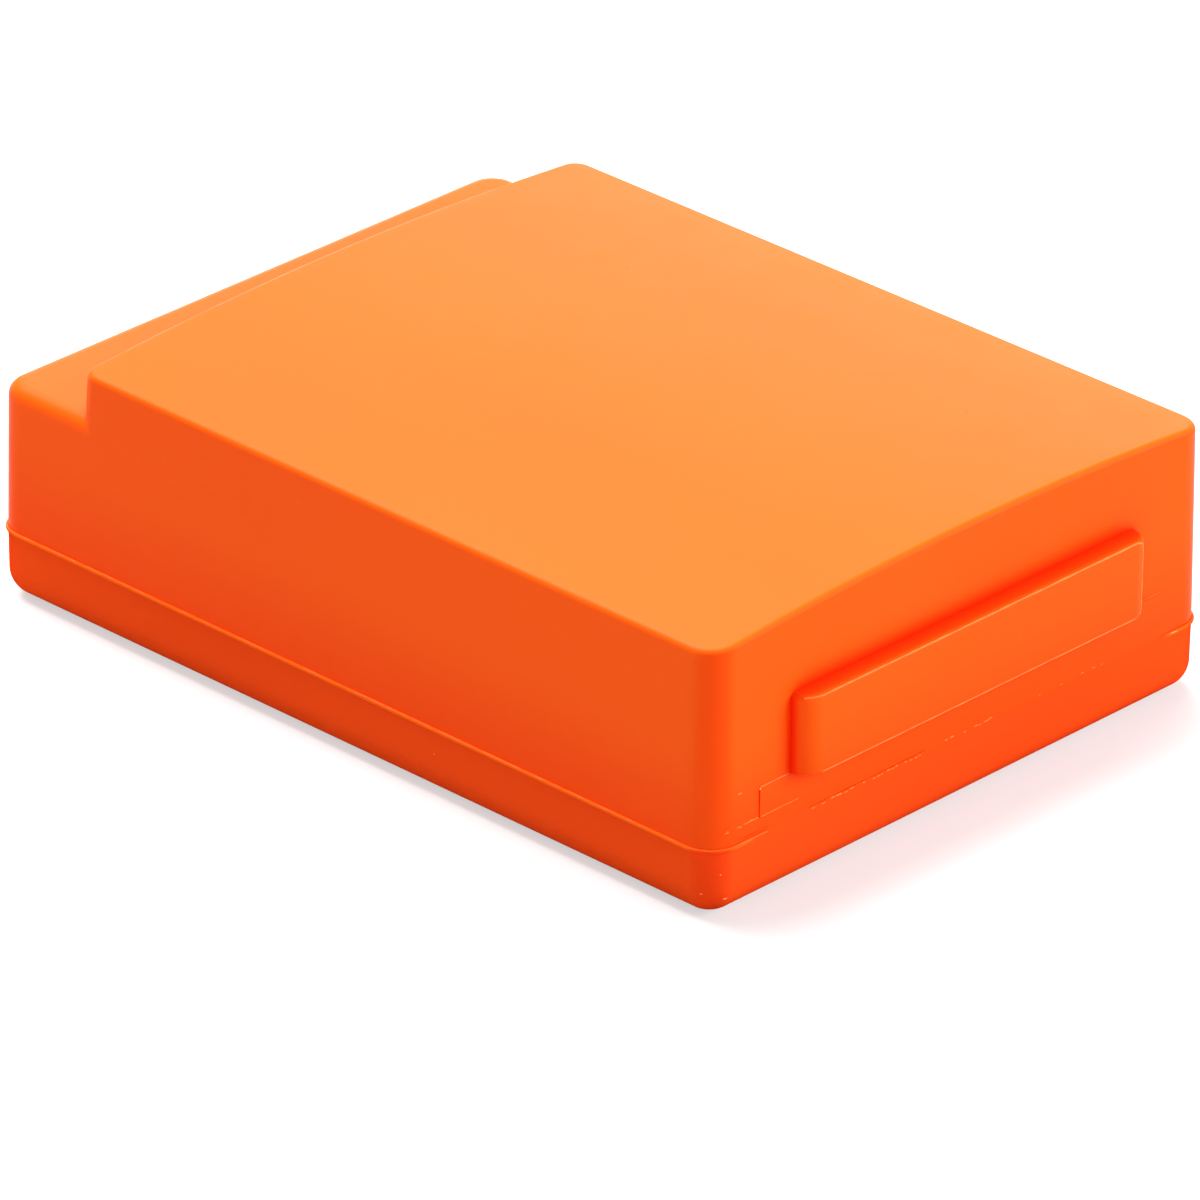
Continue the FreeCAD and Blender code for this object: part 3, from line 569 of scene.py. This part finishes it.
def grown_piece(name, tree, points, edges, sizes):
    """Plain mesh that a geometry tree makes from points and edges."""
    mesh = bpy.data.meshes.new(name)
    mesh.from_pydata(points, edges, [])
    piece = link_piece(name, mesh)
    modifier = piece.modifiers.new(tree.name, "NODES")
    modifier.node_group = tree
    for item in tree.interface.items_tree:
        if item.in_out == "INPUT" and item.name in sizes:
            modifier[item.identifier] = sizes[item.name]
    graph = bpy.context.evaluated_depsgraph_get()
    made = bpy.data.meshes.new_from_object(piece.evaluated_get(graph))
    piece.modifiers.remove(modifier)
    piece.data = made
    if not made.polygons:
        raise RuntimeError(f"{name} has no faces")
    return piece


def fit(piece):
    """Put a piece on the pack's one body."""
    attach(piece, BODY)


def chain(points):
    """Edges that join points in their order."""
    return [(index, index + 1) for index in range(len(points) - 1)]


CORNER_STEPS = 10


def seam_path(out, height, run):
    """Open path round the seam by the ledge end, from the bar end's +Y corner to a run past its -Y corner."""
    x = END_WALL_X + out
    y = LONG_WALL_Y + out
    radius = CORNER_RADIUS + out
    points = []
    for turn, (side_x, side_y) in enumerate(((1, 1), (-1, 1), (-1, -1), (1, -1))):
        centre = Vector((side_x * (x - radius), side_y * (y - radius), height))
        for step in range(CORNER_STEPS + 1):
            angle = math.pi / 2 * (turn + step / CORNER_STEPS)
            points.append(centre + radius * Vector((math.cos(angle), math.sin(angle), 0)))
    points.append(Vector((x, -y + radius + run, height)))
    return points[CORNER_STEPS // 2:]


# Runs on the bar end for the crack's painted shade and for the flecks: from and to along Y, and the height
# above the seam
CRACK_RUNS = ((-24.8 * MM, -21.6 * MM, 0.25 * MM), (-17.8 * MM, -4.2 * MM, 0.12 * MM))
CLOSE_FLECK_RUNS = ((-16.6 * MM, -4.2 * MM, -0.05 * MM), (-1.8 * MM, 3.0 * MM, 0.1 * MM),
                    (-26.0 * MM, -18.4 * MM, 1.35 * MM))
LONE_FLECK_RUNS = ((8.6 * MM, 15.8 * MM, 0.1 * MM),)
LONE_FLECK_SPREAD = 2.3
LONE_FLECK_SIZE = 0.65
# Room between the ridge's middle and the flash's outermost line, and depth of the crack's middle, in radii
RIDGE_ROOM = 1.1
CRACK_SINK = 0.6


def bar_end_runs(runs, out):
    """Points and edges of straight runs along the bar end's wall."""
    points = []
    for start, end, rise in runs:
        points += [Vector((END_WALL_X + out, y, SEAM_HEIGHT + rise)) for y in (start, end)]
    edges = [(first, first + 1) for first in range(0, len(points), 2)]
    return points, edges


# Marks on the case, in millimetres: where a line from outside starts, which way it goes to meet the case, the
# mark's length and width there, and its kind
CASE_MARKS = (
    ((25.0, 14.5, 40.0), (0, 0, -1), 0.26, 0.22, "speck"),
    ((-10.8, 14.5, 40.0), (0, 0, -1), 0.30, 0.18, "faint"),
    ((60.0, -25.84, 1.63), (-1, 0, 0), 0.45, 0.22, "nick"),
    ((60.0, -26.28, 3.81), (-1, 0, 0), 0.16, 0.16, "nick"),
    ((37.2, -60.0, 2.2), (0, 1, 0), 0.30, 0.14, "nick"),
    ((60.0, -24.6, 10.1), (-1, 0, 0), 0.70, 0.10, "nick"),
    ((9.7, -60.0, 3.71), (0, 1, 0), 0.18, 0.14, "nick"),
    # Painted highlight on thin flash at the seam.
    ((60.0, 23.9, 5.85), (-1, 0, 0), 1.10, 0.16, "nick"),
    # Painted highlight on thin flash at the core mark's corner.
    ((60.0, -22.5, 9.74), (-1, 0, 0), 0.24, 0.22, "nick"),
)
MARK_HEIGHT = 0.02 * MM
MARK_SIDES = 10
# Rims of a mark, as shares of its width and of its height above its foot, and how uneven they are
MARK_RIMS = ((0.7, 1.7), (1.0, 0.0))
MARK_UNEVEN = 0.15


def surface_point(start, direction):
    """Point and outward direction where a straight line first meets the case."""
    graph = bpy.context.evaluated_depsgraph_get()
    hits = []
    for name in SHELLS:
        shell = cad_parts[name].evaluated_get(graph)
        met, place, normal, _ = shell.ray_cast(start, direction)
        if met:
            hits.append(((place - start).length, place, normal))
    if not hits:
        raise RuntimeError(f"no case on the line from {start[:]}")
    return min(hits, key=lambda hit: hit[0])[1:]


# Light lines of painted highlight on the bar end, partly thin flash along the core mark, as points in Y and Z,
# in
# millimetres: round the bar's front edges and along the core mark's top edge on the bar's -Y side, and finer
# ones along its lower edge and on the bar's +Y side
HIGHLIGHT_RUNS = (
    ((-17.4, 9.87), (17.6, 9.87), (18.05, 10.05), (18.25, 10.45), (18.25, 15.75), (18.1, 16.1), (17.7, 16.28),
     (-17.5, 16.28), (-18.3, 16.28), (-18.8, 16.28)),
    ((-22.4, 9.82), (-19.3, 9.82)),
)
FINE_RUNS = (
    ((-25.9, 7.36), (-24.6, 7.36)),
    ((-24.2, 7.36), (-22.6, 7.36)),
    ((-22.4, 7.38), (-18.3, 7.38)),
    ((19.3, 9.82), (22.45, 9.82)),
)


def wall_runs(runs, radius):
    """Points and edges of runs on whatever the bar end shows there, for lines of this radius."""
    points = []
    edges = []
    for run in runs:
        edges += [(first + len(points), second + len(points)) for first, second in chain(run)]
        for y, z in run:
            outside = Vector((2 * UPPER_HIGH.x, y * MM, z * MM))
            place = surface_point(outside, Vector((-1, 0, 0)))[0]
            place.x = min(place.x, UPPER_HIGH.x - radius)
            points.append(place)
    return points, edges


def low_dome(mesh, place, normal, length, width):
    """Low round-edged lens on a surface, longest along the level direction there."""
    level = Vector((0, 0, 1)).cross(normal)
    level = level.normalized() if level.length > 0.1 else Vector((1, 0, 0))
    across = normal.cross(level)
    middle = mesh.verts.new(place + normal * MARK_HEIGHT)
    foot = place - normal * MARK_HEIGHT
    rims = []
    for share, rise in MARK_RIMS:
        ring = []
        for side in range(MARK_SIDES):
            angle = 2 * math.pi * side / MARK_SIDES
            reach = share * (1 - MARK_UNEVEN + MARK_UNEVEN * math.sin(3 * angle + length / MM))
            flat = level * math.cos(angle) * length / 2 + across * math.sin(angle) * width / 2
            ring.append(mesh.verts.new(foot + flat * reach + normal * MARK_HEIGHT * rise))
        rims.append(ring)
    for side in range(MARK_SIDES):
        after = (side + 1) % MARK_SIDES
        mesh.faces.new((middle, rims[0][side], rims[0][after]))
        mesh.faces.new((rims[0][side], rims[1][side], rims[1][after], rims[0][after]))
    mesh.faces.new(list(reversed(rims[1])))


def weld_points(inside):
    """Points of the spot welds, two on each strip over each cell end."""
    strips = [(f"link_strip_{number}", (number, number + 1)) for number in range(1, CELL_COUNT)]
    strips += [("negative_lead", (1,)), ("positive_lead", (CELL_COUNT,))]
    points = []
    for strip, cells in strips:
        low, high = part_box(strip)
        y = high.y if low.y + high.y > 0 else low.y
        for number in cells:
            cell_low, cell_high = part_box(f"cell_{number}")
            axis = (cell_low + cell_high) / 2
            points += [Vector((axis.x, y, axis.z + side * inside.weld_offset)) for side in (-1, 1)]
    return points


class PACK_OT_case_shells(bpy.types.Operator):
    """Give the two shells their plastic"""
    bl_idname = "pack.case_shells"
    bl_label = "Case shells"

    def execute(self, context):
        case = context.scene.pack_case
        upper = moulded_plastic("upper_shell_plastic", case.upper_colour, case.upper_gloss, case)
        # The lower shell takes a darker copy of the plastic as painted shade, and the lighter flash colour on
        # its bead.
        lower = moulded_plastic("lower_shell_plastic", case.lower_shaded_colour, case.lower_gloss, case,
                                context.scene.pack_seam.flash_and_highlight_colour)
        dress(upper, "upper_case")
        dress(lower, "lower_case")
        return {"FINISHED"}


class PACK_OT_weld_flash(bpy.types.Operator):
    """Lay the uneven ridge of weld flash round the seam"""
    bl_idname = "pack.weld_flash"
    bl_label = "Weld flash"

    def execute(self, context):
        seam = context.scene.pack_seam
        tree = ridge_tree("weld flash", flash_plastic("flash_plastic", seam.flash_and_highlight_colour))
        out = FLASH_REACH - RIDGE_ROOM * seam.ridge_radius
        path = seam_path(out, SEAM_HEIGHT - seam.ridge_drop, seam.corner_run)
        sizes = {"Radius": seam.ridge_radius, "Step": seam.ridge_step, "Wander": seam.ridge_wander,
                 "Seed": seam.seed}
        fit(grown_piece("weld_flash", tree, path, chain(path), sizes))
        return {"FINISHED"}


class PACK_OT_bar_end_seam(bpy.types.Operator):
    """Add the dark tube of painted shade in the fine crack, and the flecks of flash, along the bar end's seam
    """
    bl_idname = "pack.bar_end_seam"
    bl_label = "Bar end seam"

    def execute(self, context):
        seam = context.scene.pack_seam
        # The crack is a dark tube of painted shade, not a groove.
        shade = flash_plastic("crack_shade", seam.crack_colour, roughness=0.8, gloss=0.0)
        crack = ridge_tree("seam crack", shade)
        points, edges = bar_end_runs(CRACK_RUNS, -CRACK_SINK * seam.crack_radius)
        sizes = {"Radius": seam.crack_radius, "Step": seam.ridge_step / 2, "Wander": seam.ridge_wander,
                 "Seed": seam.seed + 1}
        fit(grown_piece("seam_crack", crack, points, edges, sizes))
        flecks = fleck_tree(flash_plastic("fleck_plastic", seam.fleck_and_highlight_colour))
        kinds = {"seam_flecks": (CLOSE_FLECK_RUNS, 1.0, 1.0),
                 "lone_flecks": (LONE_FLECK_RUNS, LONE_FLECK_SIZE, LONE_FLECK_SPREAD)}
        for name, (runs, size, spread) in kinds.items():
            points, edges = bar_end_runs(runs, 0.0)
            sizes = {"Length": seam.fleck_length * size, "Spacing": seam.fleck_spacing * spread,
                     "Seed": seam.seed}
            fit(grown_piece(name, flecks, points, edges, sizes))
        return {"FINISHED"}


class PACK_OT_highlight_lines(bpy.types.Operator):
    """Lay the fine light lines of painted highlight along the edges of the bar, and of the core mark below it,
    where they are partly thin flash
    """
    bl_idname = "pack.edge_lines"
    bl_label = "Highlight lines"

    def execute(self, context):
        seam = context.scene.pack_seam
        tree = ridge_tree("edge lines", flash_plastic("edge_plastic", seam.fleck_and_highlight_colour))
        kinds = {"edge_lines": (seam.highlight_radius, HIGHLIGHT_RUNS), "fine_lines": (seam.fine_radius, FINE_RUNS)}
        for name, (radius, runs) in kinds.items():
            points, edges = wall_runs(runs, radius)
            sizes = {"Radius": radius, "Step": seam.ridge_step, "Wander": radius / 2, "Seed": seam.seed + 2}
            fit(grown_piece(name, tree, points, edges, sizes))
        return {"FINISHED"}


class PACK_OT_case_marks(bpy.types.Operator):
    """Add the specks and nicks on the case, two of the light ones painted highlights on thin flash"""
    bl_idname = "pack.case_marks"
    bl_label = "Specks and nicks"

    def execute(self, context):
        seam = context.scene.pack_seam
        plain_colour = context.scene.pack_case.upper_colour
        faint = [(dark + plain) / 2 for dark, plain in zip(seam.speck_colour, plain_colour)]
        kinds = {"speck": ("moulded_specks", seam.speck_colour), "faint": ("faint_spots", faint),
                 "nick": ("case_nicks", seam.nick_and_glint_colour)}
        for kind, (name, colour) in kinds.items():
            shape = bmesh.new()
            for start, direction, length, width, mark_kind in CASE_MARKS:
                if mark_kind == kind:
                    place, normal = surface_point(Vector(start) * MM, Vector(direction))
                    low_dome(shape, place, normal, length * MM, width * MM)
            bmesh.ops.recalc_face_normals(shape, faces=shape.faces)
            mesh = bpy.data.meshes.new(name)
            shape.to_mesh(mesh)
            shape.free()
            mesh.shade_smooth()
            mesh.materials.append(flash_plastic(name, colour, roughness=0.6))
            fit(link_piece(name, mesh))
        return {"FINISHED"}


class PACK_OT_cells(bpy.types.Operator):
    """Give the cells their shrink film and the washers their paper"""
    bl_idname = "pack.cells"
    bl_label = "Cells and washers"

    def execute(self, context):
        inside = context.scene.pack_inside
        numbers = range(1, CELL_COUNT + 1)
        dress(shrink_film(inside), *(f"cell_{number}" for number in numbers))
        dress(fibre_paper(inside), *(f"insulator_ring_{number}" for number in numbers))
        return {"FINISHED"}


class PACK_OT_conductors(bpy.types.Operator):
    """Give the strips, leads, contacts and fuse their finishes, and the strips their spot welds"""
    bl_idname = "pack.conductors"
    bl_label = "Strips, contacts and fuse"

    def execute(self, context):
        inside = context.scene.pack_inside
        nickel = rolled_metal("rolled_nickel", inside.nickel_colour, roughness=0.36,
                              stretch=(12.0, 12.0, 1.0))
        links = [f"link_strip_{number}" for number in range(1, CELL_COUNT)]
        dress(nickel, *links, "negative_lead", "positive_lead", "bus_strip")
        plating = rolled_metal("contact_plating", inside.plating_colour, roughness=0.28,
                               stretch=(1.0, 12.0, 1.0))
        dress(plating, "negative_contact", "positive_contact")
        dress(fuse_film(inside), "resettable_fuse")
        sizes = {"Radius": inside.weld_radius, "Height": inside.weld_height}
        spots = grown_piece("spot_welds", weld_tree(nickel), weld_points(inside), [], sizes)
        fit(spots)
        return {"FINISHED"}


# Lamps: name, the setting of its power, place and width
LAMPS = (
    ("key_light", "key_power", (-0.38, 0.10, 0.78), 0.70),
    ("end_fill", "end_power", (0.50, 0.46, 0.26), 0.35),
    ("side_fill", "side_power", (-0.22, -0.84, 0.34), 0.60),
    ("front_fill", "front_power", (0.64, -0.34, 0.30), 0.40),
    ("back_light", "back_power", (-0.58, 0.62, 0.24), 0.45),
)


def seen_directly(tree):
    """1 for the camera's rays and for reflected and refracted ones, 0 for the light that falls on things."""
    path = add(tree, "ShaderNodeLightPath")
    total = path.outputs["Is Camera Ray"]
    for name in ("Is Glossy Ray", "Is Transmission Ray"):
        node = add(tree, "ShaderNodeMath", operation="ADD", use_clamp=True)
        tree.links.new(total, node.inputs[0])
        tree.links.new(path.outputs[name], node.inputs[1])
        total = node.outputs[0]
    return total


def pale_floor(stage):
    """Pale matt floor that takes the pack's shadow and looks white to the camera."""
    material = bpy.data.materials.new("pale_floor")
    material.use_nodes = True
    tree = material.node_tree
    surface = tree.nodes["Principled BSDF"]
    surface.inputs["Base Color"].default_value = stage.floor_colour
    surface.inputs["Roughness"].default_value = 1.0
    surface.inputs["Specular IOR Level"].default_value = 0.0
    surface.inputs["Emission Color"].default_value = (1.0, 1.0, 1.0, 1.0)
    lift = add(tree, "ShaderNodeMath", {1: stage.floor_lift}, operation="MULTIPLY")
    tree.links.new(seen_directly(tree), lift.inputs[0])
    tree.links.new(lift.outputs[0], surface.inputs["Emission Strength"])
    return material


def white_surround(stage):
    """World that lights softly from all round and looks white."""
    world = bpy.data.worlds.new("white_surround")
    world.use_nodes = True
    tree = world.node_tree
    level = add(tree, "ShaderNodeMapRange", {3: stage.ambient, 4: 1.0})
    tree.links.new(seen_directly(tree), level.inputs[0])
    tree.links.new(level.outputs[0], tree.nodes["Background"].inputs["Strength"])
    tree.nodes["Background"].inputs["Color"].default_value = (1.0, 1.0, 1.0, 1.0)
    return world


def camera_place(stage):
    """Matrix of the camera: the aim point lands at its place in the picture."""
    a, e, r = stage.azimuth, stage.elevation, stage.roll
    back = Vector((math.sin(a) * math.cos(e), -math.cos(a) * math.cos(e), math.sin(e)))
    level = Vector((math.cos(a), math.sin(a), 0))
    above = back.cross(level)
    right = level * math.cos(r) + above * math.sin(r)
    up = above * math.cos(r) - level * math.sin(r)
    pixel = stage.distance * SENSOR_WIDTH / (stage.lens * PICTURE_SIZE)
    across = (stage.aim_across - PICTURE_SIZE / 2) * pixel
    down = (stage.aim_down - PICTURE_SIZE / 2) * pixel
    eye = Vector((0, 0, stage.aim_height)) + back * stage.distance - right * across + up * down
    place = Matrix((right, up, back)).transposed().to_4x4()
    place.translation = eye
    return place


class PACK_OT_stage(bpy.types.Operator):
    """Set up the floor, the soft light and the camera"""
    bl_idname = "pack.stage"
    bl_label = "Stage"

    def execute(self, context):
        scene = context.scene
        stage = scene.pack_stage
        shape = bmesh.new()
        bmesh.ops.create_circle(shape, cap_ends=True, segments=FLOOR_SIDES, radius=stage.floor_radius,
                                matrix=Matrix.Translation((0, 0, -FLOOR_GAP)))
        mesh = bpy.data.meshes.new("floor")
        shape.to_mesh(mesh)
        shape.free()
        mesh.materials.append(pale_floor(stage))
        link_piece("floor", mesh)
        scene.world = white_surround(stage)
        aim = Vector((0, 0, stage.aim_height))
        for name, power, place, size in LAMPS:
            lamp = bpy.data.lights.new(name, "AREA")
            lamp.shape = "SQUARE"
            lamp.size = size
            lamp.energy = getattr(stage, power)
            holder = link_piece(name, lamp)
            holder.location = place
            holder.rotation_euler = (aim - holder.location).to_track_quat("-Z", "Y").to_euler()
        camera = bpy.data.cameras.new("studio_camera")
        camera.sensor_width = SENSOR_WIDTH
        camera.lens = stage.lens
        holder = link_piece("studio_camera", camera)
        holder.matrix_world = camera_place(stage)
        scene.camera = holder
        scene.view_settings.view_transform = "Standard"
        return {"FINISHED"}


class PACK_PT_dressing(bpy.types.Panel):
    """Settings and steps of the battery pack's dressing"""
    bl_label = "Battery pack"
    bl_idname = "PACK_PT_dressing"
    bl_space_type = "VIEW_3D"
    bl_region_type = "UI"
    bl_category = "Battery pack"

    def draw(self, context):
        for group in SETTINGS:
            box = self.layout.box()
            settings = getattr(context.scene, group)
            for name in settings.bl_rna.properties.keys():
                if name not in ("rna_type", "name"):
                    box.prop(settings, name)
        for step in STEPS:
            self.layout.operator(step.bl_idname)


SETTINGS = {
    "pack_case": PackCaseSettings,
    "pack_seam": PackSeamSettings,
    "pack_inside": PackInsideSettings,
    "pack_stage": PackStageSettings,
}
STEPS = (
    PACK_OT_case_shells,
    PACK_OT_weld_flash,
    PACK_OT_bar_end_seam,
    PACK_OT_highlight_lines,
    PACK_OT_case_marks,
    PACK_OT_cells,
    PACK_OT_conductors,
    PACK_OT_stage,
)


def register():
    """Register the settings, the steps and the panel."""
    for group, kind in SETTINGS.items():
        bpy.utils.register_class(kind)
        setattr(bpy.types.Scene, group, PointerProperty(type=kind))
    for kind in (*STEPS, PACK_PT_dressing):
        bpy.utils.register_class(kind)


def unregister():
    """Take the panel, the steps and the settings away again."""
    for kind in (PACK_PT_dressing, *reversed(STEPS)):
        bpy.utils.unregister_class(kind)
    for group, kind in reversed(SETTINGS.items()):
        delattr(bpy.types.Scene, group)
        bpy.utils.unregister_class(kind)


def main():
    """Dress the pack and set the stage."""
    register()
    bpy.ops.pack.case_shells()
    bpy.ops.pack.weld_flash()
    bpy.ops.pack.bar_end_seam()
    bpy.ops.pack.edge_lines()
    bpy.ops.pack.case_marks()
    bpy.ops.pack.cells()
    bpy.ops.pack.conductors()
    bpy.ops.pack.stage()


if __name__ == "__main__":
    main()
